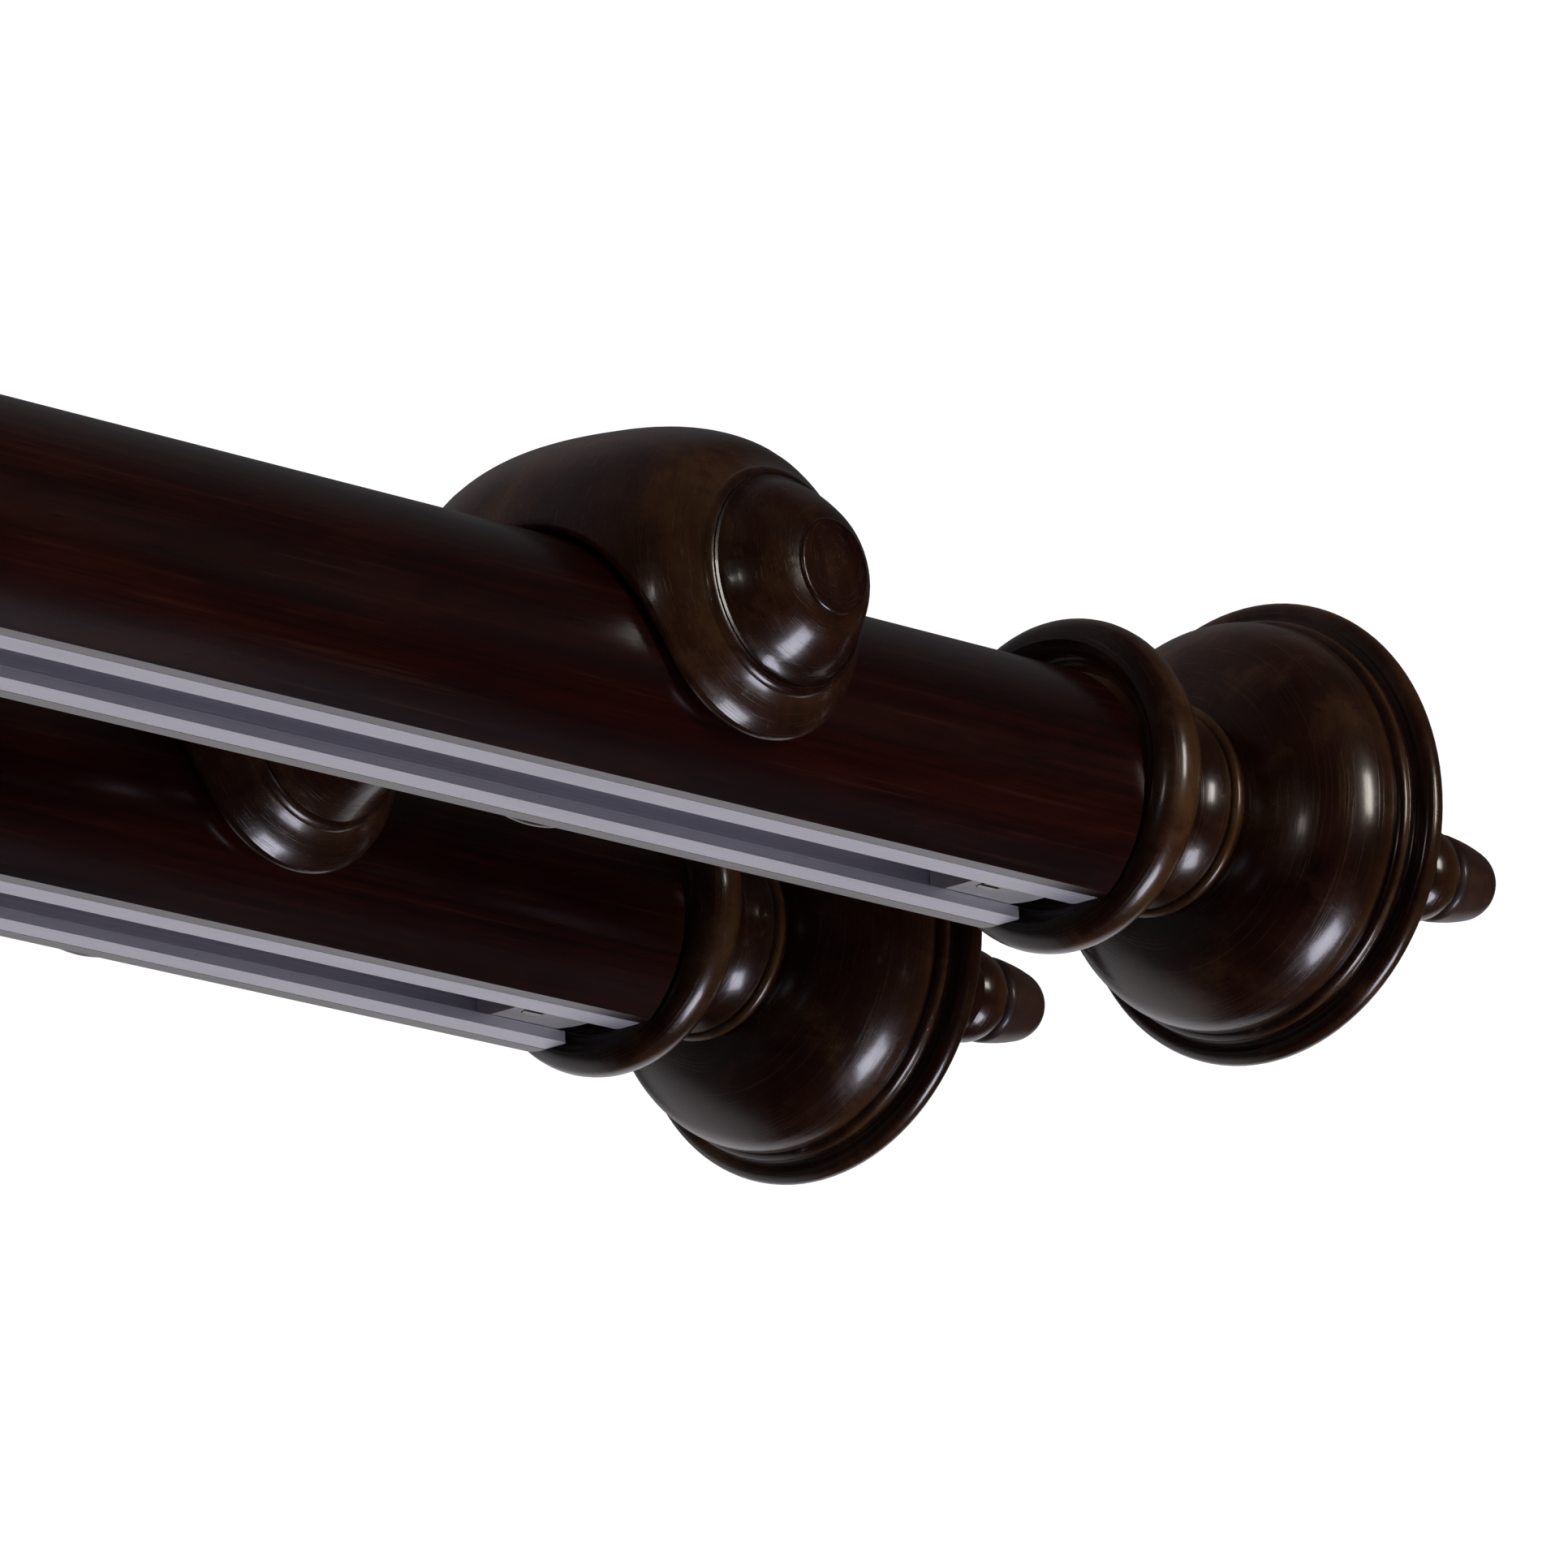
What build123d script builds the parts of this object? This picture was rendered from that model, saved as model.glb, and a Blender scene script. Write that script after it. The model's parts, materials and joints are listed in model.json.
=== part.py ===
from build123d import *
import os

# Double wooden curtain pole set: two round poles side by side, each with an aluminium curtain
# track let into the flat on its underside, a turned finial on every pole end, and two turned
# wooden bracket arms that carry both poles off the wall.
#
# Frame (mm): X runs along the poles, the wall is the plane Y = 0 and the room is at -Y, Z is up.
# The origin is on the wall, midway between the brackets, at the height of the arms' axes.

# ---- driving dimensions -------------------------------------------------------------------
POLE_DIAMETER = 28.0
POLE_LENGTH = 1000.0
POLE_PITCH = 62.0  # front pole's axis to rear pole's axis
REAR_POLE_FROM_WALL = 80.0
BRACKET_SPACING = 880.0
ARM_ABOVE_POLE = 8.4  # arm's axis above the poles' axes
FINIAL_ABOVE_POLE = 2.5  # finial pegs sit above the pole's axis, clear of the track's groove

R = POLE_DIAMETER / 2
POLE_Z = -ARM_ABOVE_POLE
REAR_Y = -REAR_POLE_FROM_WALL
FRONT_Y = REAR_Y - POLE_PITCH
POLE_ROWS = {"front": FRONT_Y, "rear": REAR_Y}
SIDES = {"left": -1, "right": 1}

# Aluminium track: a C section, open downwards
TRACK_WIDTH = 13.2
TRACK_HEIGHT = 8.4
TRACK_SLOT = 6.9
TRACK_WALL = 1.1
TRACK_WEB = 1.2
TRACK_BOTTOM = -11.2  # lip faces and the pole's flat underside, below the pole's axis
TRACK_TOP = TRACK_BOTTOM + TRACK_HEIGHT
TRACK_GROOVE_GAP = 0.1
TRACK_SHORTER = 0.1  # the track ends this far inside each pole end
TRACK_LIP_ROUND = 0.6
TRACK_SCREW_RADIUS = 1.5
TRACK_SCREW_HEAD_RADIUS = 2.8
TRACK_SCREW_LENGTH = 11.0
TRACK_SCREW_SPACING = 280.0
TRACK_SCREW_COUNT = 4

# Stop at each end of the track
STOP_LENGTH = 11.0
STOP_SHORTER = 0.6  # the stop ends this far inside the track
STOP_END_ROUND = 0.9  # of half the stop's width
STOP_PLAY = 0.1
STOP_SCREW_RADIUS = 1.5
STOP_SCREW_LENGTH = 6.2

# Gliders that run in the track
GLIDER_COUNT = 6
GLIDER_SPACING = 120.0
GLIDER_MIDDLE = -90.0
GLIDER_HEAD = (9.6, 10.2, 5.0)
GLIDER_LIFT = 0.35
GLIDER_NECK = (4.4, 5.4)
GLIDER_HEAD_ROUND = 2.4
GLIDER_NECK_ROUND = 1.0
GLIDER_EYE_RADIUS = 2.6
GLIDER_EYE_WALL = 1.9
GLIDER_EYE_THICKNESS = 2.4
GLIDER_EYE_DROP = 6.8  # eye's centre below the lip faces

# Finial and its peg
PEG_RADIUS = 4.0
PEG_LENGTH = 34.0
PEG_FIT = 0.05
PEG_END_GAP = 1.0
FINIAL_GAP = 0.5  # finial's rim to the pole's end

# Arm, rosette and screws
SADDLE_CLEARANCE = 0.3
SADDLE_EDGE = 0.9
ROSETTE_RADIUS = 36.0
ROSETTE_THICKNESS = 16.0
SPIGOT_RADIUS = 8.0
SPIGOT_LENGTH = 9.0
WALL_HOLE_RADIUS = 2.5
WALL_HOLE_HEAD_RADIUS = 5.0
WALL_HOLE_SPACING = 52.0
WALL_HOLE_STRAIGHT = 9.0
POLE_SCREW_RADIUS = 2.0
POLE_SCREW_HEAD_RADIUS = 4.0
POLE_SCREW_IN_POLE = 9.0
ARM_SCREW_RADIUS = 3.0
ARM_SCREW_HEAD_RADIUS = 6.0
ARM_SCREW_LENGTH = 50.0
ARM_SCREW_SUNK = 4.0
BULB_RADIUS = 1.37 * R
POLE_SCREW_SUNK = 2.0


# ---- helpers --------------------------------------------------------------------------------
def at(along, radius):
    """A point of a turned outline, given in pole radii."""
    return (along * R, radius * R)


def turn(*curves):
    """Solid of revolution about X of an outline that starts and ends on the X axis."""
    closing = Line(curves[-1] @ 1, curves[0] @ 0)
    return revolve(make_face([*curves, closing]), Axis.X)


def rod(radius, start, length, direction=(1, 0, 0)):
    """A plain round rod from a point along a direction."""
    return extrude(Plane(origin=start, z_dir=direction) * Circle(radius), length)


def cone(radius_start, radius_end, start, length, direction):
    """A frustum from a point along a direction."""
    plane = Plane(origin=start, z_dir=direction)
    return plane * Cone(radius_start, radius_end, length, align=(Align.CENTER, Align.CENTER, Align.MIN))


def block(low, high):
    """A box between two corners."""
    size = [high[i] - low[i] for i in range(3)]
    centre = [(high[i] + low[i]) / 2 for i in range(3)]
    return Pos(*centre) * Box(*size)


def countersunk_screw(shank, head, head_height, length, start, direction, slot=True):
    """Flat-head screw with a cross recess; start is the middle of its head's face."""
    point_length = 2.2 * shank
    screw = rod(shank, start, length - point_length, direction)
    screw += cone(head, shank, start, head_height, direction)
    tip_start = Vector(*start) + Vector(*direction) * (length - point_length)
    screw += cone(shank, 0.15 * shank, tip_start, point_length, direction)
    if slot:
        plane = Plane(origin=start, z_dir=direction)
        width, depth = 0.28 * head, 0.5 * head_height
        for size in ((1.3 * head, width), (width, 1.3 * head)):
            screw -= extrude(plane * Rectangle(*size), depth)
    return screw


# ---- poles and tracks -------------------------------------------------------------------------
def pole(y):
    """Pole with a flat underside, the track's groove in that flat and a peg hole in each end."""
    half = POLE_LENGTH / 2
    body = rod(R, (-half, y, POLE_Z), POLE_LENGTH)
    body = chamfer(body.edges().filter_by(GeomType.CIRCLE), 0.5)
    flat = POLE_Z + TRACK_BOTTOM
    body -= block((-half - 1, y - R, flat - R), (half + 1, y + R, flat))
    groove_half = TRACK_WIDTH / 2 + TRACK_GROOVE_GAP
    groove_low = (-half - 1, y - groove_half, POLE_Z - R - 1)
    body -= block(groove_low, (half + 1, y + groove_half, POLE_Z + TRACK_TOP + TRACK_GROOVE_GAP))
    hole_depth = PEG_LENGTH / 2 + PEG_END_GAP
    for side in SIDES.values():
        hole_start = (side * half, y, POLE_Z + FINIAL_ABOVE_POLE)
        body -= rod(PEG_RADIUS + PEG_FIT, hole_start, hole_depth, (-side, 0, 0))
    for x in (-BRACKET_SPACING / 2, BRACKET_SPACING / 2):
        body -= pole_screw(x, y, slot=False)
    for x in track_screw_places():
        body -= track_screw(x, y, slot=False)
    return body


def track_screw_places():
    first = -TRACK_SCREW_SPACING * (TRACK_SCREW_COUNT - 1) / 2
    return [first + TRACK_SCREW_SPACING * i for i in range(TRACK_SCREW_COUNT)]


def track_screw(x, y, slot=True):
    """Small screw up through the track's web, its head flush inside the channel."""
    head = (x, y, POLE_Z + TRACK_TOP - TRACK_WEB)
    shank, wide, length = TRACK_SCREW_RADIUS, TRACK_SCREW_HEAD_RADIUS, TRACK_SCREW_LENGTH
    return countersunk_screw(shank, wide, TRACK_WEB, length, head, (0, 0, 1), slot)


def track(y):
    """C-shaped aluminium track with two turned-in lips and softened lip corners."""
    half = POLE_LENGTH / 2 - TRACK_SHORTER
    width, low, high = TRACK_WIDTH / 2, POLE_Z + TRACK_BOTTOM, POLE_Z + TRACK_TOP
    body = block((-half, y - width, low), (half, y + width, high))
    inner = width - TRACK_WALL
    inside = block((-half - 1, y - inner, low + TRACK_WEB), (half + 1, y + inner, high - TRACK_WEB))
    slot_half = TRACK_SLOT / 2
    slot = block((-half - 1, y - slot_half, low - 1), (half + 1, y + slot_half, high - TRACK_WEB))
    body = body - inside - slot
    lip_ends = body.edges().filter_by(Axis.Z).filter_by(lambda e: e.center().Z < low + TRACK_WEB)
    lip_ends = lip_ends.filter_by(lambda e: abs(abs(e.center().Y - y) - slot_half) < 0.01)
    body = fillet(lip_ends, TRACK_LIP_ROUND)
    for x in track_screw_places():
        body -= track_screw(x, y, slot=False)
    return body


def end_stop(y, side):
    """Nylon stop plugged into the channel, its outer end rounded."""
    far = POLE_LENGTH / 2 - TRACK_SHORTER - STOP_SHORTER
    near = far - STOP_LENGTH
    lips = POLE_Z + TRACK_BOTTOM
    half = TRACK_WIDTH / 2 - TRACK_WALL - STOP_PLAY
    floor = lips + TRACK_WEB + STOP_PLAY
    top = POLE_Z + TRACK_TOP - TRACK_WEB - STOP_PLAY
    body = block((near, y - half, floor), (far, y + half, top))
    body = fillet(body.edges().filter_by(Axis.Z).group_by(Axis.X)[-1], STOP_END_ROUND * half)
    body = body.mirror(Plane.YZ) if side < 0 else body
    return body - stop_screw(y, side, 0.0)


def stop_screw(y, side, clearance=0.1):
    """Slotted grub screw that jams the stop against the track's web."""
    x = side * (POLE_LENGTH / 2 - TRACK_SHORTER - STOP_SHORTER - STOP_LENGTH + STOP_SCREW_RADIUS + 1.5)
    bottom = POLE_Z + TRACK_BOTTOM + TRACK_WEB
    radius = STOP_SCREW_RADIUS - clearance
    screw = rod(radius, (x, y, bottom), STOP_SCREW_LENGTH - TRACK_WEB, (0, 0, 1))
    if clearance > 0:
        slot_low, slot_high = (x - 2, y - radius / 5, bottom - 1), (x + 2, y + radius / 5, bottom + 0.8)
        screw -= block(slot_low, slot_high)
    return screw


def glider(x, y):
    """Glider: a head that runs on the lips, a neck through the slot and an eye for the hook."""
    length, width, height = GLIDER_HEAD
    neck_length, neck_width = GLIDER_NECK
    lips = POLE_Z + TRACK_BOTTOM
    head_low = lips + TRACK_WEB + GLIDER_LIFT
    head = Pos(x, y, head_low + height / 2) * Box(length, width, height)
    head = fillet(head.edges().filter_by(Axis.Z), GLIDER_HEAD_ROUND)
    head = chamfer(head.faces().sort_by(Axis.Z)[-1].edges(), 0.6)
    eye_z = lips - GLIDER_EYE_DROP
    neck_low, neck_high = eye_z + GLIDER_EYE_RADIUS + 0.5, head_low + 0.5
    neck = Pos(x, y, (neck_low + neck_high) / 2) * Box(neck_length, neck_width, neck_high - neck_low)
    neck = fillet(neck.edges().filter_by(Axis.Z), GLIDER_NECK_ROUND)
    thickness = GLIDER_EYE_THICKNESS
    outer = GLIDER_EYE_RADIUS + GLIDER_EYE_WALL
    ring = rod(outer, (x, y - thickness / 2, eye_z), thickness, (0, 1, 0))
    eye = rod(GLIDER_EYE_RADIUS, (x, y - thickness, eye_z), 2 * thickness, (0, 1, 0))
    return head + neck + ring - eye


def glider_places():
    first = GLIDER_MIDDLE - GLIDER_SPACING * (GLIDER_COUNT - 1) / 2
    return [first + GLIDER_SPACING * i for i in range(GLIDER_COUNT)]


# ---- finials ----------------------------------------------------------------------------------
def finial_shape():
    """Turned finial along +X, its rim in the plane X = 0.

    From the pole outwards: dished face, round collar, cove, thin ridge, bell, two fine grooves,
    rounded flange, ogee nose, neck and a long round tip.
    """
    dish = [Line(at(0.20, 0), at(0.20, 0.84)), Spline(at(0.20, 0.84), at(0.07, 0.92), at(0, 1.04))]
    collar = [
        ThreePointArc(at(0, 1.04), at(0.06, 1.16), at(0.25, 1.223)),
        ThreePointArc(at(0.25, 1.223), at(0.43, 1.11), at(0.46, 0.94)),
    ]
    cove = [Spline(at(0.46, 0.94), at(0.62, 0.72), at(0.86, 0.64), at(1.22, 0.745))]
    ridge = [
        ThreePointArc(at(1.22, 0.745), at(1.265, 0.80), at(1.31, 0.765)),
        Line(at(1.31, 0.765), at(1.36, 0.755)),
    ]
    bell = [Spline(at(1.36, 0.755), at(1.46, 1.04), at(1.62, 1.29), at(1.83, 1.45), at(2.165, 1.515))]
    bead = [
        Line(at(2.165, 1.515), at(2.178, 1.497)),
        ThreePointArc(at(2.178, 1.497), at(2.205, 1.545), at(2.265, 1.56)),
        Line(at(2.265, 1.56), at(2.278, 1.542)),
    ]
    flange = [
        ThreePointArc(at(2.278, 1.542), at(2.308, 1.562), at(2.32, 1.60)),
        ThreePointArc(at(2.32, 1.60), at(2.405, 1.715), at(2.51, 1.61)),
        Line(at(2.51, 1.61), at(2.53, 1.50)),
        Line(at(2.53, 1.50), at(2.58, 1.48)),
    ]
    nose = [Spline(at(2.58, 1.48), at(2.88, 1.25), at(3.30, 0.84), at(3.72, 0.47), at(4.08, 0.335))]
    neck = [
        ThreePointArc(at(4.08, 0.335), at(4.22, 0.365), at(4.36, 0.325)),
        Line(at(4.36, 0.325), at(4.385, 0.285)),
    ]
    ball_middle = 4.74
    ball_radius = 0.28
    ball_start = at(ball_middle + 0.072, (ball_radius**2 - 0.072**2) ** 0.5)
    ball_side = at(ball_middle + 0.8 * ball_radius, 0.6 * ball_radius)
    ball_end = at(ball_middle + ball_radius, 0)
    ball = [
        ThreePointArc(at(4.385, 0.285), at(4.41, 0.315), at(4.47, 0.33)),
        ThreePointArc(at(4.47, 0.33), at(4.642, 0.308), ball_start),
        ThreePointArc(ball_start, ball_side, ball_end),
    ]
    return turn(*dish, *collar, *cove, *ridge, *bell, *bead, *flange, *nose, *neck, *ball)


def finial_place(y, side):
    """Turns +X to the outward direction of one pole end and moves there."""
    x = side * (POLE_LENGTH / 2 + FINIAL_GAP)
    return Pos(x, y, POLE_Z + FINIAL_ABOVE_POLE) * Rot(0, 0, 0 if side > 0 else 180)


def peg():
    """Beech peg, half in the finial and half in the pole's end, with chamfered ends."""
    body = rod(PEG_RADIUS, (-PEG_LENGTH / 2, 0, 0), PEG_LENGTH)
    return chamfer(body.edges().filter_by(GeomType.CIRCLE), 0.8)


def finial():
    socket = rod(PEG_RADIUS, (0, 0, 0), PEG_LENGTH / 2 + PEG_END_GAP)
    return finial_shape() - socket


# ---- brackets ---------------------------------------------------------------------------------
def arm_end(tip):
    """Flat end disc, hollow and flared knob at the room end of the arm."""
    knob = [(0.03, 0.347), (0.042, 0.375), (0.06, 0.415), (0.10, 0.475), (0.18, 0.555), (0.26, 0.625)]
    knob += [(0.34, 0.68), (0.40, 0.715), (0.43, 0.745)]
    return [
        Line(at(tip, 0), at(tip, 0.32)),
        ThreePointArc(at(tip, 0.32), at(tip + 0.007, 0.338), at(tip + 0.03, 0.347)),
        Spline(*[at(tip + along, radius) for along, radius in knob]),
        Line(at(tip + 0.43, 0.745), at(tip + 0.436, 0.765)),
    ]


def fine_bead(start):
    """Soft rolled edge of the bulb where the knob meets it."""
    return [
        Line(at(start + 0.02, 0.765), at(start + 0.03, 0.752)),
        ThreePointArc(at(start + 0.03, 0.752), at(start + 0.048, 0.80), at(start + 0.09, 0.828)),
    ]


def bulb(crease, tail):
    """Egg-shaped bulb over a pole, from its bead to the neck behind it."""
    knots = [(0.09, 0.828), (0.13, 0.865), (0.22, 0.985), (0.45, 1.15), (0.75, 1.26), (1.10, 1.33)]
    knots += [(1.50, 1.372), (1.95, 1.377), (2.40, 1.285), (2.80, 1.05), (3.20, 0.70), *tail]
    return [Spline(*[at(crease + along, radius) for along, radius in knots])]


def arm(x):
    """Turned arm: two bulbs with a saddle for each pole, a neck between them, and a foot."""
    tip = FRONT_Y / R - 1.847
    front_crease = tip + 0.416
    rear_crease = front_crease + POLE_PITCH / R
    foot = -ROSETTE_THICKNESS / R
    neck = [(3.60, 0.585), (4.10, 0.63), (POLE_PITCH / R + 0.02, 0.765)]
    foot_neck = [(3.65, 0.60), (foot - 1.2 - rear_crease, 0.66), (foot - 0.35 - rear_crease, 0.90)]
    foot_neck += [(foot - 0.12 - rear_crease, 0.98)]
    foot_round = ThreePointArc(at(foot - 0.12, 0.98), at(foot - 0.04, 1.04), at(foot, 0.98))
    spigot_end = foot + SPIGOT_LENGTH / R
    spigot = [
        Line(at(foot, 0.98), (foot * R, SPIGOT_RADIUS)),
        Line((foot * R, SPIGOT_RADIUS), (spigot_end * R, SPIGOT_RADIUS)),
        Line((spigot_end * R, SPIGOT_RADIUS), (spigot_end * R, 0)),
    ]
    outline = arm_end(tip)
    outline += fine_bead(front_crease) + bulb(front_crease, neck)
    outline += fine_bead(rear_crease) + bulb(rear_crease, foot_neck)
    outline += [foot_round] + spigot
    body = Pos(x, 0, 0) * Rot(0, 0, 90) * turn(*outline)
    for y in POLE_ROWS.values():
        body -= saddle(x, y)
    body = fillet(body.edges().filter_by(on_saddle), SADDLE_EDGE)
    for y in POLE_ROWS.values():
        body -= pole_screw_recess(x, y)
    return body - arm_screw(x, slot=False)


def saddle(x, y):
    """Space for a pole: a round seat that opens straight down, so that gliders can pass."""
    radius = R + SADDLE_CLEARANCE
    seat = rod(radius, (x - 2 * R, y, POLE_Z), 4 * R)
    return seat + block((x - 2 * R, y - radius, POLE_Z - 2 * R), (x + 2 * R, y + radius, POLE_Z))


def on_saddle(edge):
    """True for a curved edge where a saddle meets the bulb's turned surface."""
    if abs(edge.tangent_at(0.5).X) > 0.999:
        return False
    radius = R + SADDLE_CLEARANCE
    places = [edge @ share for share in (0.1, 0.37, 0.5, 0.9)]
    for y in POLE_ROWS.values():
        on_seat = all(abs((Vector(0, p.Y - y, p.Z - POLE_Z)).length - radius) < 0.01 for p in places)
        on_wall = all(abs(abs(p.Y - y) - radius) < 0.01 and p.Z < POLE_Z + 0.01 for p in places)
        if on_seat or on_wall:
            return True
    return False


def pole_screw(x, y, slot=True):
    """Screw down through a bulb's crown into the pole."""
    top = BULB_RADIUS - POLE_SCREW_SUNK
    length = top - (POLE_Z + R) + POLE_SCREW_IN_POLE
    shank, wide = POLE_SCREW_RADIUS, POLE_SCREW_HEAD_RADIUS
    return countersunk_screw(shank, wide, 2.4, length, (x, y, top), (0, 0, -1), slot)


def pole_screw_recess(x, y):
    """Drilled and counterbored hole for that screw."""
    top = BULB_RADIUS - POLE_SCREW_SUNK
    above = rod(POLE_SCREW_HEAD_RADIUS + 0.2, (x, y, top), POLE_SCREW_SUNK + 4, (0, 0, 1))
    return pole_screw(x, y, slot=False) + above


def arm_screw(x, slot=True):
    """Wood screw from the rosette's back into the arm's foot."""
    shank, wide = ARM_SCREW_RADIUS, ARM_SCREW_HEAD_RADIUS
    head = (x, -ARM_SCREW_SUNK, 0)
    return countersunk_screw(shank, wide, 3.6, ARM_SCREW_LENGTH, head, (0, -1, 0), slot)


def rosette(x):
    """Turned wall rosette with a socket for the arm and two countersunk wall-screw holes."""
    face, edge = ROSETTE_THICKNESS, ROSETTE_RADIUS
    ogee = [(7.8, edge - 3.0), (10.4, edge - 4.6), (12.0, edge - 7.0), (13.0, edge - 12.0)]
    ogee += [(face, edge - 19.6)]
    outline = [
        Line((0, 0), (0, edge - 0.8)),
        ThreePointArc((0, edge - 0.8), (0.3, edge - 0.2), (1.0, edge)),
        Line((1.0, edge), (5.0, edge)),
        ThreePointArc((5.0, edge), (6.6, edge - 0.7), (7.2, edge - 2.2)),
        Line((7.2, edge - 2.2), ogee[0]),
        Spline(*ogee),
        Line(ogee[-1], (face, 0)),
    ]
    body = Pos(x, 0, 0) * Rot(0, 0, -90) * turn(*outline)
    body -= rod(SPIGOT_RADIUS + 0.1, (x, -face, 0), SPIGOT_LENGTH + 0.3, (0, 1, 0))
    body -= arm_screw(x, slot=False)
    body -= rod(ARM_SCREW_HEAD_RADIUS + 0.3, (x, -ARM_SCREW_SUNK, 0), ARM_SCREW_SUNK + 1, (0, 1, 0))
    sink = WALL_HOLE_HEAD_RADIUS - WALL_HOLE_RADIUS + 0.1
    for z in (-WALL_HOLE_SPACING / 2, WALL_HOLE_SPACING / 2):
        body -= rod(WALL_HOLE_RADIUS, (x, 1, z), face + 2, (0, -1, 0))
        body -= cone(WALL_HOLE_RADIUS, WALL_HOLE_HEAD_RADIUS, (x, -WALL_HOLE_STRAIGHT, z), sink, (0, -1, 0))
        body -= rod(WALL_HOLE_HEAD_RADIUS, (x, -WALL_HOLE_STRAIGHT - sink, z), face, (0, -1, 0))
    return body


# ---- files -------------------------------------------------------------------------------------
def save(name, *solids):
    """Writes one node's solids to its STEP file."""
    node = solids[0] if len(solids) == 1 else Compound(children=list(solids))
    node.label = name
    export_step(node, "parts/" + name + ".step")


def build():
    os.makedirs("parts", exist_ok=True)
    shape, peg_shape = finial(), peg()
    for row, y in POLE_ROWS.items():
        save("pole_" + row, pole(y))
        save("track_" + row, track(y))
        save("track_screws_" + row, *[track_screw(x, y) for x in track_screw_places()])
        for number, x in enumerate(glider_places(), 1):
            save(f"glider_{row}_{number}", glider(x, y))
        for side, sign in SIDES.items():
            place = finial_place(y, sign)
            save(f"finial_{row}_{side}", place * shape)
            save(f"finial_peg_{row}_{side}", place * peg_shape)
            save(f"end_stop_{row}_{side}", end_stop(y, sign))
        save("end_stop_screws_" + row, *[stop_screw(y, sign) for sign in SIDES.values()])
    for side, sign in SIDES.items():
        x = sign * BRACKET_SPACING / 2
        save("bracket_arm_" + side, arm(x))
        save("wall_rosette_" + side, rosette(x))
        save("arm_screw_" + side, arm_screw(x))
        save("pole_screws_" + side, *[pole_screw(x, y) for y in POLE_ROWS.values()])


build()
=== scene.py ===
"""Looks of the curtain rod with brackets: materials, camera, floor and light round the frame."""

import json
import math

import bpy
from mathutils import Matrix, Vector


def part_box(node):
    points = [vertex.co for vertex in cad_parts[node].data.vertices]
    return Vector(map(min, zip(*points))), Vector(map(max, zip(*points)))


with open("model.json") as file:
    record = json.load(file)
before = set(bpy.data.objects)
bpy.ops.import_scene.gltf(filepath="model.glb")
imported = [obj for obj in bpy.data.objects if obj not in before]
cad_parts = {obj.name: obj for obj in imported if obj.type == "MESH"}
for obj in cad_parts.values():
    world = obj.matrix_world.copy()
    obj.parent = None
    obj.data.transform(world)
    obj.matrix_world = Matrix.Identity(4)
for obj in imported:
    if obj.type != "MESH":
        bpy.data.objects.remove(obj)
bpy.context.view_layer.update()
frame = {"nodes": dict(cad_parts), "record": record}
nodes = frame["nodes"]
record = frame["record"]

slot_of = {part["node"]: part["material_slot"] for part in record["subparts"]}


# ---- node helpers ------------------------------------------------------------------------
def feed(tree, socket, value):
    """Link another node's output into a socket, or set the socket's own value."""
    if isinstance(value, bpy.types.NodeSocket):
        tree.links.new(value, socket)
    elif socket.type == "RGBA":
        socket.default_value = (*value, 1)
    else:
        socket.default_value = value


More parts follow.
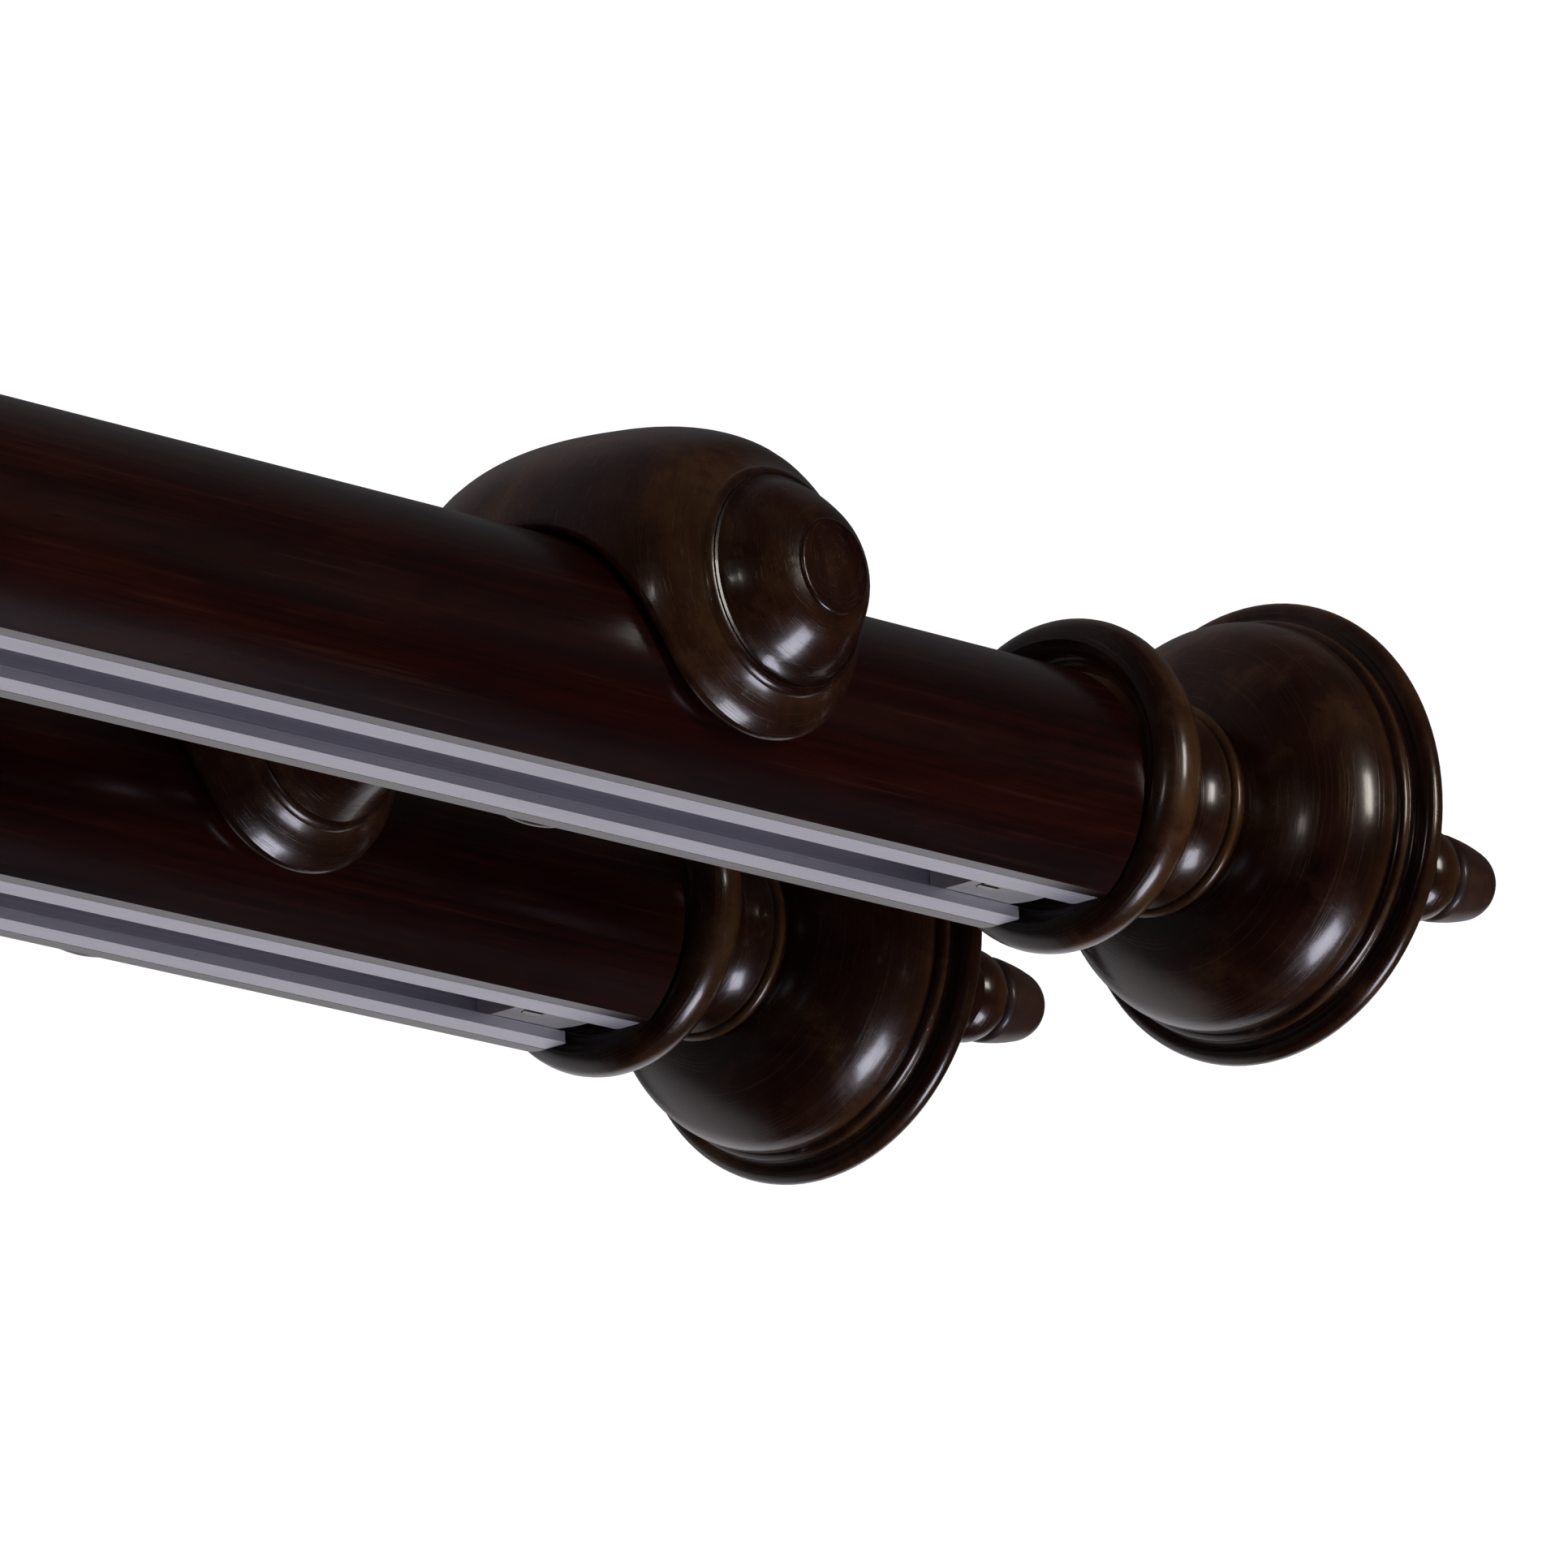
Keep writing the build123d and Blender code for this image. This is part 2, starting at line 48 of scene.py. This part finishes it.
class Nodes:
    """Short names for the shader nodes of one material."""

    def __init__(self, name):
        self.material = bpy.data.materials.new(name)
        self.material.use_nodes = True
        self.tree = self.material.node_tree
        self.tree.nodes.clear()
        self.out = self.tree.nodes.new("ShaderNodeOutputMaterial")
        self.shader = self.tree.nodes.new("ShaderNodeBsdfPrincipled")
        self.tree.links.new(self.shader.outputs[0], self.out.inputs[0])
        self.place = self.tree.nodes.new("ShaderNodeTexCoord").outputs["Object"]

    def put(self, socket, value):
        """Feed one of this material's sockets."""
        feed(self.tree, socket, value)

    def noise(self, scale, detail=4.0, rough=0.55, distortion=0.0, shift=(0, 0, 0)):
        """Noise over the object: scale is its frequency per metre along each axis."""
        node = self.tree.nodes.new("ShaderNodeMapping")
        self.put(node.inputs["Vector"], self.place)
        node.inputs["Scale"].default_value = scale
        node.inputs["Location"].default_value = shift
        return self.noise_over(node.outputs[0], detail, rough, distortion)

    def noise_over(self, vector, detail=4.0, rough=0.55, distortion=0.0):
        """Noise over any vector."""
        node = self.tree.nodes.new("ShaderNodeTexNoise")
        self.put(node.inputs["Vector"], vector)
        node.inputs["Scale"].default_value = 1.0
        node.inputs["Detail"].default_value = detail
        node.inputs["Roughness"].default_value = rough
        node.inputs["Distortion"].default_value = distortion
        return node.outputs["Fac"]

    def math(self, kind, a, b=0.0, clamp=False):
        """One of the Math node's operations on sockets or numbers."""
        node = self.tree.nodes.new("ShaderNodeMath")
        node.operation = kind
        node.use_clamp = clamp
        self.put(node.inputs[0], a)
        self.put(node.inputs[1], b)
        return node.outputs[0]

    def remap(self, value, low, high, to_low=0.0, to_high=1.0):
        """Carry the range low..high over to to_low..to_high, and hold it there outside."""
        node = self.tree.nodes.new("ShaderNodeMapRange")
        self.put(node.inputs["Value"], value)
        node.inputs["From Min"].default_value = low
        node.inputs["From Max"].default_value = high
        node.inputs["To Min"].default_value = to_low
        node.inputs["To Max"].default_value = to_high
        return node.outputs[0]

    def mix(self, share, a, b):
        """Colour a, with a share of colour b; inputs 6 and 7 and output 2 are the colour ones."""
        node = self.tree.nodes.new("ShaderNodeMix")
        node.data_type = "RGBA"
        self.put(node.inputs[0], share)
        self.put(node.inputs[6], a)
        self.put(node.inputs[7], b)
        return node.outputs[2]

    def ramp(self, value, *stops):
        """Colour ramp; stops are (position, colour)."""
        node = self.tree.nodes.new("ShaderNodeValToRGB")
        self.put(node.inputs[0], value)
        bar = node.color_ramp.elements
        while len(bar) < len(stops):
            bar.new(0.5)
        for element, (place, colour) in zip(bar, stops):
            element.position = place
            element.color = (*colour, 1)
        return node.outputs[0]

    def bump(self, height, strength, distance, normal=None):
        """Bump of a height map, distance in metres, on top of another bump if one is given."""
        node = self.tree.nodes.new("ShaderNodeBump")
        node.inputs["Strength"].default_value = strength
        node.inputs["Distance"].default_value = distance
        self.put(node.inputs["Height"], height)
        if normal is not None:
            self.put(node.inputs["Normal"], normal)
        return node.outputs[0]

    def edge(self, low, high):
        """1 where the surface turns outwards sharply, 0 elsewhere."""
        geometry = self.tree.nodes.new("ShaderNodeNewGeometry")
        return self.remap(geometry.outputs["Pointiness"], low, high)

    def split(self, vector):
        """The three sockets of a vector."""
        node = self.tree.nodes.new("ShaderNodeSeparateXYZ")
        self.put(node.inputs[0], vector)
        return node.outputs

    def join(self, x, y, z):
        """A vector from three sockets or numbers."""
        node = self.tree.nodes.new("ShaderNodeCombineXYZ")
        for socket, value in zip(node.inputs, (x, y, z)):
            self.put(socket, value)
        return node.outputs[0]

    def set(self, **values):
        """Set the shader's inputs, with _ for a space in a name, and give the material back."""
        for name, value in values.items():
            self.put(self.shader.inputs[name.replace("_", " ")], value)
        return self.material


# ---- materials ---------------------------------------------------------------------------
POLE_RADIUS = (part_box("pole_front")[1].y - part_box("pole_front")[0].y) / 2

# colours of the stained wood, linear, from dark to light
BLACK = (0.0020, 0.0009, 0.0007)
SOOT = (0.004, 0.0012, 0.0008)
SHADE = (0.006, 0.0014, 0.0010)
DARK = (0.0070, 0.0011, 0.0011)
COCOA = (0.012, 0.0040, 0.0018)
PLUM = (0.014, 0.0012, 0.0010)
RED = (0.020, 0.0042, 0.0022)
WINE = (0.022, 0.0024, 0.0014)
BROWN = (0.029, 0.0078, 0.0036)
RUSSET = (0.040, 0.0066, 0.0028)
CHESTNUT = (0.050, 0.0150, 0.0060)
HAZEL = (0.060, 0.0235, 0.0085)
UMBER = (0.066, 0.0265, 0.0092)
TAN = (0.095, 0.044, 0.017)
GOLD = (0.160, 0.080, 0.028)

# the ramps of rubbed wear and painted shade cover this many pole radii along a piece
RAMP_REACH = 16.0
# where a finial's dull tip starts: distance from its rim in pole radii
TIP_START = 4.38
# frequencies of the turning lines: per pole radius along a piece, per metre of radius, per radian
LINES = (95.0, 5200.0, 0.9)
# the same for the sanding scratches, and how far they lean round a piece per pole radius along it
SCRATCHES = (4.0, 300.0, 60.0)
SCRATCH_LEAN = 30.0


def middle_of(node):
    """Centre of a node's box."""
    low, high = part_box(node)
    return (low + high) / 2


def pole_wood():
    """Beech stained almost black: long grain, soft blotches, fine pores and a glossy lacquer."""
    n = Nodes("pole_wood_stained")
    streak = n.noise((3.0, 170, 170), 6, 0.62, 0.25)
    blotch = n.noise((14, 55, 55), 6, 0.66, 0.5)
    fine = n.noise((22, 1500, 1500), 4, 0.7)
    pores = n.noise((110, 2300, 2300), 3, 0.6, shift=(3, 1, 2))
    base = n.ramp(streak, (0.34, DARK), (0.52, PLUM), (0.66, WINE), (0.84, BROWN))
    base = n.mix(n.remap(blotch, 0.48, 0.72, 0, 0.9), base, RUSSET)
    base = n.mix(n.remap(blotch, 0.42, 0.28, 0, 0.85), base, SHADE)
    base = n.mix(n.remap(fine, 0.50, 0.66, 0, 0.65), base, SOOT)
    base = n.mix(n.remap(fine, 0.42, 0.30, 0, 0.5), base, CHESTNUT)
    base = n.mix(n.remap(pores, 0.66, 0.74, 0, 0.8), base, BLACK)
    rough = n.remap(n.noise((9, 130, 130), 5), 0.3, 0.7, 0.20, 0.30)
    bump = n.bump(fine, 0.10, 0.00006)
    bump = n.bump(pores, 0.15, 0.00008, bump)
    return n.set(
        Base_Color=base,
        Roughness=rough,
        Normal=bump,
        IOR=1.45,
        Coat_Weight=0.25,
        Coat_Roughness=0.16,
        Coat_IOR=1.5,
    )


def turned_wood(name, axis, centre, start, sign, wear_and_painted_shade, worn_tip=None):
    """Stained turned piece: cloudy stain, grain along the axis, rubbed ridges, turning lines, and
    painted shade in the grooves.

    Each stop of the wear and painted shade table is (distance in pole radii, share): above 0.5 a
    share of rubbed golden wood, below 0.5 a share of painted shade that darkens grooves and creases.
    The distance runs from start, a coordinate on the axis, towards its positive or negative side,
    as sign says. From worn_tip on the piece is duller."""
    n = Nodes(name)
    xyz = n.split(n.place)
    turn_axis = "XY".index(axis)
    across = [k for k in range(3) if k != turn_axis]
    off = [n.math("SUBTRACT", xyz[k], centre[k]) for k in across]
    square = n.math("ADD", n.math("MULTIPLY", off[0], off[0]), n.math("MULTIPLY", off[1], off[1]))
    radius = n.math("SQRT", square)
    angle = n.math("ARCTAN2", off[0], off[1])
    along = n.math("MULTIPLY", n.math("SUBTRACT", xyz[turn_axis], start), sign / POLE_RADIUS)
    # cloudy stain over the grain
    stretch = [230, 230, 230]
    stretch[turn_axis] = 26
    cloud = n.noise((60, 60, 60), 6, 0.64, 0.8)
    grain = n.noise(tuple(stretch), 6, 0.66, 0.5)
    flecks = n.noise(tuple(6 * k for k in stretch), 3, 0.6)
    base = n.ramp(cloud, (0.34, DARK), (0.46, RED), (0.55, BROWN), (0.67, UMBER))
    base = n.mix(n.remap(grain, 0.50, 0.76, 0, 0.75), base, COCOA)
    base = n.mix(n.remap(grain, 0.44, 0.30, 0, 0.5), base, HAZEL)
    base = n.mix(n.remap(flecks, 0.62, 0.74, 0, 0.55), base, BLACK)
    # rubbed golden wear on the ridges, and painted shade that darkens the grooves and creases and a
    # finial's collar face by the pole
    span = 1.0 / RAMP_REACH
    bar = n.tree.nodes.new("ShaderNodeValToRGB")
    n.put(bar.inputs[0], n.math("MULTIPLY", along, span))
    stops = bar.color_ramp.elements
    while len(stops) < len(wear_and_painted_shade):
        stops.new(0.5)
    for stop, (distance, share) in zip(stops, wear_and_painted_shade):
        stop.position = distance * span
        stop.color = (share, share, share, 1)
    # worn is above 0 where the wood is rubbed golden, and below 0 where painted shade darkens it
    worn = n.math("SUBTRACT", bar.outputs[0], 0.5)
    patchy = n.remap(n.noise((95, 95, 95), 5, 0.7, shift=(5, 2, 1)), 0.35, 0.62, 0.25, 1.0)
    rubbed = n.math("MULTIPLY", n.math("MULTIPLY", worn, 2.0, clamp=True), patchy)
    base = n.mix(rubbed, base, GOLD)
    # stained is painted shade: it darkens the grooves, creases and a finial's collar face by the pole
    # towards black
    stained = n.math("MULTIPLY", n.math("MULTIPLY", worn, -2.0, clamp=True), 0.9)
    base = n.mix(stained, base, BLACK)
    # fine turning lines, and sanding scratches that lean across them here and there
    line_place = n.join(
        n.math("MULTIPLY", along, LINES[0]),
        n.math("MULTIPLY", radius, LINES[1]),
        n.math("MULTIPLY", angle, LINES[2]),
    )
    lines = n.noise_over(line_place, 4, 0.75)
    lean = n.math("MULTIPLY", along, SCRATCH_LEAN)
    scratch_place = n.join(
        n.math("ADD", n.math("MULTIPLY", angle, SCRATCHES[2]), lean),
        n.math("MULTIPLY", along, SCRATCHES[0]),
        n.math("MULTIPLY", radius, SCRATCHES[1]),
    )
    crossing = n.noise_over(scratch_place, 4, 0.75)
    where = n.remap(n.noise((130, 130, 130), 4, shift=(1, 7, 3)), 0.42, 0.62)
    scratch = n.remap(lines, 0.57, 0.70)
    scratch = n.math("ADD", scratch, n.math("MULTIPLY", n.remap(crossing, 0.64, 0.72, 0, 0.8), where))
    base = n.mix(n.math("MULTIPLY", scratch, 0.42, clamp=True), base, TAN)
    rough = n.math("ADD", n.remap(cloud, 0.3, 0.7, 0.19, 0.29), n.math("MULTIPLY", scratch, 0.10))
    if worn_tip:
        rough = n.math("ADD", rough, n.remap(along, worn_tip - 0.02, worn_tip + 0.04, 0.0, 0.30))
    bump = n.bump(scratch, 0.16, 0.00007)
    bump = n.bump(flecks, 0.05, 0.00006, bump)
    return n.set(
        Base_Color=base,
        Roughness=rough,
        Normal=bump,
        IOR=1.46,
        Coat_Weight=0.4,
        Coat_Roughness=0.13,
        Coat_IOR=1.5,
    )


# share of rubbed wood along a finial, from its rim: 0.5 is plain, above is rubbed golden wood, below
# is painted shade in the grooves and on the collar face by the pole
FINIAL_WEAR_AND_PAINTED_SHADE = (
    (0.0, 0.14), (0.07, 0.30), (0.13, 0.66), (0.25, 0.74), (0.38, 0.62), (0.46, 0.25), (0.60, 0.42),
    (0.86, 0.50), (1.18, 0.50), (1.265, 0.88), (1.34, 0.26), (1.45, 0.45), (1.75, 0.52), (2.05, 0.56),
    (2.15, 0.74), (2.178, 0.12), (2.22, 0.76), (2.26, 0.86), (2.278, 0.12), (2.31, 0.40), (2.40, 0.66),
    (2.50, 0.58), (2.55, 0.30), (2.70, 0.50), (4.00, 0.50), (4.22, 0.58), (4.36, 0.80), (4.386, 0.20),
    (4.45, 0.55), (4.90, 0.55),
)
# the same along an arm, from its end disc towards the wall; painted shade in the creases by the knobs
# and, faintly, round the saddles that hold the poles
ARM_WEAR_AND_PAINTED_SHADE = (
    (0.0, 0.50), (0.012, 0.56), (0.022, 0.95), (0.034, 0.56), (0.14, 0.54), (0.30, 0.42), (0.40, 0.34),
    (0.436, 0.10), (0.465, 0.66), (0.50, 0.62), (0.60, 0.54), (0.95, 0.54), (1.40, 0.48), (1.90, 0.46),
    (3.60, 0.46), (4.50, 0.50), (4.83, 0.56), (4.865, 0.10), (4.895, 0.66), (4.93, 0.62), (5.03, 0.54),
    (5.38, 0.54), (5.83, 0.48), (6.30, 0.46), (8.0, 0.46), (10.5, 0.56), (10.75, 0.66), (15.0, 0.5),
)
# and along a rosette, from the wall towards the room, with painted shade in its groove
ROSETTE_WEAR_AND_PAINTED_SHADE = (
    (0.0, 0.5), (0.08, 0.72), (0.30, 0.56), (0.40, 0.74), (0.52, 0.20), (0.60, 0.66), (0.80, 0.54),
    (1.00, 0.56), (1.14, 0.60), (2.0, 0.5),
)


def aluminium():
    """Drawn mill-finish aluminium: fine lengthwise lines and a little dull oxide."""
    n = Nodes("track_aluminium_drawn")
    lines = n.noise((2.2, 2600, 2600), 4, 0.7)
    dull = n.noise((26, 160, 160), 6, 0.65)
    specks = n.noise((900, 1500, 1500), 3, 0.6)
    base = n.ramp(lines, (0.3, (0.60, 0.58, 0.64)), (0.7, (0.80, 0.78, 0.84)))
    base = n.mix(n.remap(dull, 0.48, 0.75, 0, 0.45), base, (0.50, 0.49, 0.53))
    base = n.mix(n.remap(specks, 0.68, 0.76, 0, 0.5), base, (0.25, 0.24, 0.25))
    rough = n.remap(lines, 0.3, 0.7, 0.30, 0.44)
    bump = n.bump(lines, 0.22, 0.0001)
    return n.set(Base_Color=base, Roughness=rough, Normal=bump, Metallic=0.5)


def metal(name, frequency, dull, bright, edges=None):
    """Screw metal: faint spots, and a brighter colour on the edges if one is given."""
    n = Nodes(name)
    spots = n.noise((frequency, frequency, frequency), 5, 0.6)
    base = n.ramp(spots, (0.3, dull), (0.7, bright))
    if edges:
        base = n.mix(n.edge(0.52, 0.6), base, edges)
    rough = n.remap(spots, 0.3, 0.7, 0.25, 0.42)
    return n.set(Base_Color=base, Roughness=rough, Metallic=1.0, Normal=n.bump(spots, 0.1, 0.0001))


def nylon():
    """Grey-beige moulded nylon."""
    n = Nodes("nylon_moulded")
    skin = n.noise((1200, 1200, 1200), 4, 0.6)
    tone = n.noise((120, 120, 120), 3, 0.5)
    base = n.ramp(tone, (0.3, (0.40, 0.39, 0.37)), (0.7, (0.54, 0.53, 0.50)))
    return n.set(
        Base_Color=base,
        Roughness=n.remap(skin, 0.3, 0.7, 0.38, 0.52),
        Normal=n.bump(skin, 0.12, 0.0001),
        Subsurface_Weight=0.15,
        Subsurface_Scale=0.002,
    )


def beech():
    """Raw beech of the pegs."""
    n = Nodes("beech_raw")
    grain = n.noise((40, 700, 700), 5, 0.6)
    base = n.ramp(grain, (0.3, (0.42, 0.27, 0.15)), (0.7, (0.62, 0.44, 0.28)))
    return n.set(Base_Color=base, Roughness=0.7, Normal=n.bump(grain, 0.2, 0.0001))


finishes = {
    "pole_wood": pole_wood(),
    "track_aluminium": aluminium(),
    "screw_steel": metal("screw_steel_zinc", 900, (0.42, 0.41, 0.39), (0.62, 0.61, 0.58)),
    "screw_brass": metal(
        "screw_brass_bronzed", 700, (0.12, 0.07, 0.03), (0.32, 0.21, 0.09), edges=(0.6, 0.42, 0.2)
    ),
    "nylon": nylon(),
    "beech": beech(),
}
turned = {}
for row in ("front", "rear"):
    for side, sign in (("left", -1), ("right", 1)):
        node = f"finial_{row}_{side}"
        low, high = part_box(node)
        rim = low.x if sign > 0 else high.x
        turned[node] = turned_wood(
            "wood_" + node, "X", middle_of(node), rim, sign, FINIAL_WEAR_AND_PAINTED_SHADE, worn_tip=TIP_START
        )
for side in ("left", "right"):
    arm, rosette = "bracket_arm_" + side, "wall_rosette_" + side
    turned[arm] = turned_wood("wood_" + arm, "Y", middle_of(arm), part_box(arm)[0].y, 1, ARM_WEAR_AND_PAINTED_SHADE)
    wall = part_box(rosette)[1].y
    turned[rosette] = turned_wood("wood_" + rosette, "Y", middle_of(rosette), wall, -1, ROSETTE_WEAR_AND_PAINTED_SHADE)
for name, piece in nodes.items():
    for material_slot in piece.material_slots:
        material_slot.material = turned.get(name) or finishes[slot_of[name]]


# ---- camera ------------------------------------------------------------------------------
# It looks at the right-hand end from the room, from the left and 15 degrees below, by a long
# lens whose view is about 6 degrees wide. Places in metres, lens and sensor in millimetres.
EYE = Vector((-0.6297, -1.0829, -0.4028))
AIM = Vector((0.46049, -0.142, -0.01287))
ROLL = math.radians(-3.21)
LENS = 346.6
SENSOR = 36.0

camera = bpy.data.objects.new("camera", bpy.data.cameras.new("camera"))
bpy.context.scene.collection.objects.link(camera)
bpy.context.scene.camera = camera
camera.data.lens = LENS
camera.data.sensor_width = SENSOR
camera.data.clip_start = 0.05
camera.data.clip_end = 60.0
ahead = (AIM - EYE).normalized()
level = ahead.cross(Vector((0, 0, 1))).normalized()
upright = level.cross(ahead)
camera_right = math.cos(ROLL) * level + math.sin(ROLL) * upright
camera_up = -math.sin(ROLL) * level + math.cos(ROLL) * upright
camera_turn = Matrix((camera_right, camera_up, -ahead)).transposed()
camera.matrix_world = Matrix.Translation(EYE) @ camera_turn.to_4x4()


# ---- stage and light ---------------------------------------------------------------------
def area(name, place, aim, size, power, colour):
    """A rectangular light at a place, turned towards its aim and hidden from the camera."""
    light = bpy.data.lights.new(name, "AREA")
    light.shape = "RECTANGLE"
    light.size, light.size_y = size
    light.energy = power
    light.color = colour
    holder = bpy.data.objects.new(name, light)
    bpy.context.scene.collection.objects.link(holder)
    holder.location = place
    holder.rotation_mode = "QUATERNION"
    holder.rotation_quaternion = (Vector(aim) - Vector(place)).to_track_quat("-Z", "Y")
    holder.visible_camera = False
    return holder


# The rod hangs on a wall, so the floor lies far enough below to stay out of every view's way.
# It shows pale by its own glow, and only the camera sees it, so it adds no light.
FLOOR_Z = -13.0
FLOOR_SIZE = 500
bpy.ops.mesh.primitive_plane_add(size=FLOOR_SIZE, location=(0, 0, FLOOR_Z))
floor = bpy.context.object
floor.name = "floor"
pale = Nodes("floor_pale")
clouds = pale.noise((0.6, 0.6, 0.6), 3)
greys = pale.ramp(clouds, (0.3, (0.86, 0.86, 0.86)), (0.7, (0.89, 0.89, 0.89)))
pale.set(Base_Color=greys, Roughness=0.9, Emission_Color=greys, Emission_Strength=0.95)
floor.data.materials.append(pale.material)
floor.visible_glossy = False
floor.visible_diffuse = False
floor.visible_transmission = False

world = bpy.data.worlds.new("studio")
bpy.context.scene.world = world
world.use_nodes = True
sky = world.node_tree
sky.nodes.clear()
coords = sky.nodes.new("ShaderNodeTexCoord")


def background(colour, strength):
    """A background of one colour, with a number or a node's output for its strength."""
    node = sky.nodes.new("ShaderNodeBackground")
    feed(sky, node.inputs["Color"], colour)
    feed(sky, node.inputs["Strength"], strength)
    return node


def lobe(towards, low, high, strength):
    """A soft bright patch of the studio round one direction."""
    dot = sky.nodes.new("ShaderNodeVectorMath")
    dot.operation = "DOT_PRODUCT"
    sky.links.new(coords.outputs["Generated"], dot.inputs[0])
    dot.inputs[1].default_value = Vector(towards).normalized()
    patch = sky.nodes.new("ShaderNodeMapRange")
    patch.interpolation_type = "SMOOTHSTEP"
    sky.links.new(dot.outputs["Value"], patch.inputs["Value"])
    patch.inputs["From Min"].default_value = low
    patch.inputs["From Max"].default_value = high
    patch.inputs["To Min"].default_value = 0.0
    patch.inputs["To Max"].default_value = strength
    return patch.outputs[0]


def plus(a, b):
    """Sum of two numbers or node outputs."""
    node = sky.nodes.new("ShaderNodeMath")
    node.operation = "ADD"
    feed(sky, node.inputs[0], a)
    feed(sky, node.inputs[1], b)
    return node.outputs[0]


# The camera sees plain white, of strength WHITE. The object is lit by a studio of strength DIM,
# faintly tinted, with a few soft bright patches:
# (direction, cosine where a patch fades out, cosine where it is full, strength).
WHITE = 1.05
DIM = 0.008
STUDIO_TINT = (0.97, 0.95, 1.0)
PATCHES = (
    ((0.73, 0.62, -0.28), 0.86, 0.995, 0.70),  # in the undersides of the track's lips
    ((0.70, 0.45, 0.55), 0.66, 1.0, 0.045),  # along the tops of the poles
    ((-0.3, 0.9, 0.4), 0.2, 1.0, 0.09),  # wide and weak, from the wall side
    ((0.02, 0.89, -0.45), 0.84, 0.99, 0.45),  # low on the bells
    ((0.0, -0.2, 1.0), 0.3, 1.0, 0.02),  # overhead
)
brightness = DIM
for patch_values in PATCHES:
    brightness = plus(brightness, lobe(*patch_values))
path = sky.nodes.new("ShaderNodeLightPath")
white = background((1, 1, 1), WHITE)
dim = background(STUDIO_TINT, brightness)
chosen = sky.nodes.new("ShaderNodeMixShader")
out = sky.nodes.new("ShaderNodeOutputWorld")
sky.links.new(path.outputs["Is Camera Ray"], chosen.inputs[0])
sky.links.new(dim.outputs[0], chosen.inputs[1])
sky.links.new(white.outputs[0], chosen.inputs[2])
sky.links.new(chosen.outputs[0], out.inputs[0])


def direction(azimuth, elevation):
    """Unit vector: azimuth 0 is towards the room, 90 along +X."""
    a, e = math.radians(azimuth), math.radians(elevation)
    return Vector((math.sin(a) * math.cos(e), -math.cos(a) * math.cos(e), math.sin(e)))


# by the finials at the right-hand end, which the camera looks at
SEEN_END = Vector((0.50, -0.12, -0.005))

# Soft boxes aimed at that end give the highlights on the turned pieces:
# (name, distance in metres, azimuth, elevation, size, watts, colour).
BOXES = (
    ("box_warm", 1.3, 10, 8, (0.22, 0.42), 4.6, (1.0, 0.94, 0.85)),
    ("box_cool", 1.15, 27, -62, (0.40, 0.42), 5.6, (0.86, 0.86, 1.0)),
    ("box_side", 1.3, -64, -2, (0.10, 0.14), 0.35, (1.0, 0.95, 0.88)),
)
for name, distance, azimuth, elevation, size, watts, colour in BOXES:
    area(name, SEEN_END + distance * direction(azimuth, elevation), SEEN_END, size, watts, colour)

# Broad lights bring out the wood's own colour and leave no reflection:
# (name, place, aim, size, watts, colour).
FILLS = (
    ("fill", SEEN_END + 2.2 * direction(-35, 5), SEEN_END, (1.8, 1.6), 3.2, (1.0, 0.94, 0.89)),
    ("back_fill", (0, 1.6, 1.2), (0, 0, 0), (2.2, 1.4), 40, (1, 1, 1)),
    ("top", (0, -0.6, 2.4), (0, -0.1, 0), (2.6, 1.8), 8, (1, 1, 1)),
)
for fill_values in FILLS:
    area(*fill_values).visible_glossy = False

bpy.context.scene.view_settings.view_transform = "Standard"
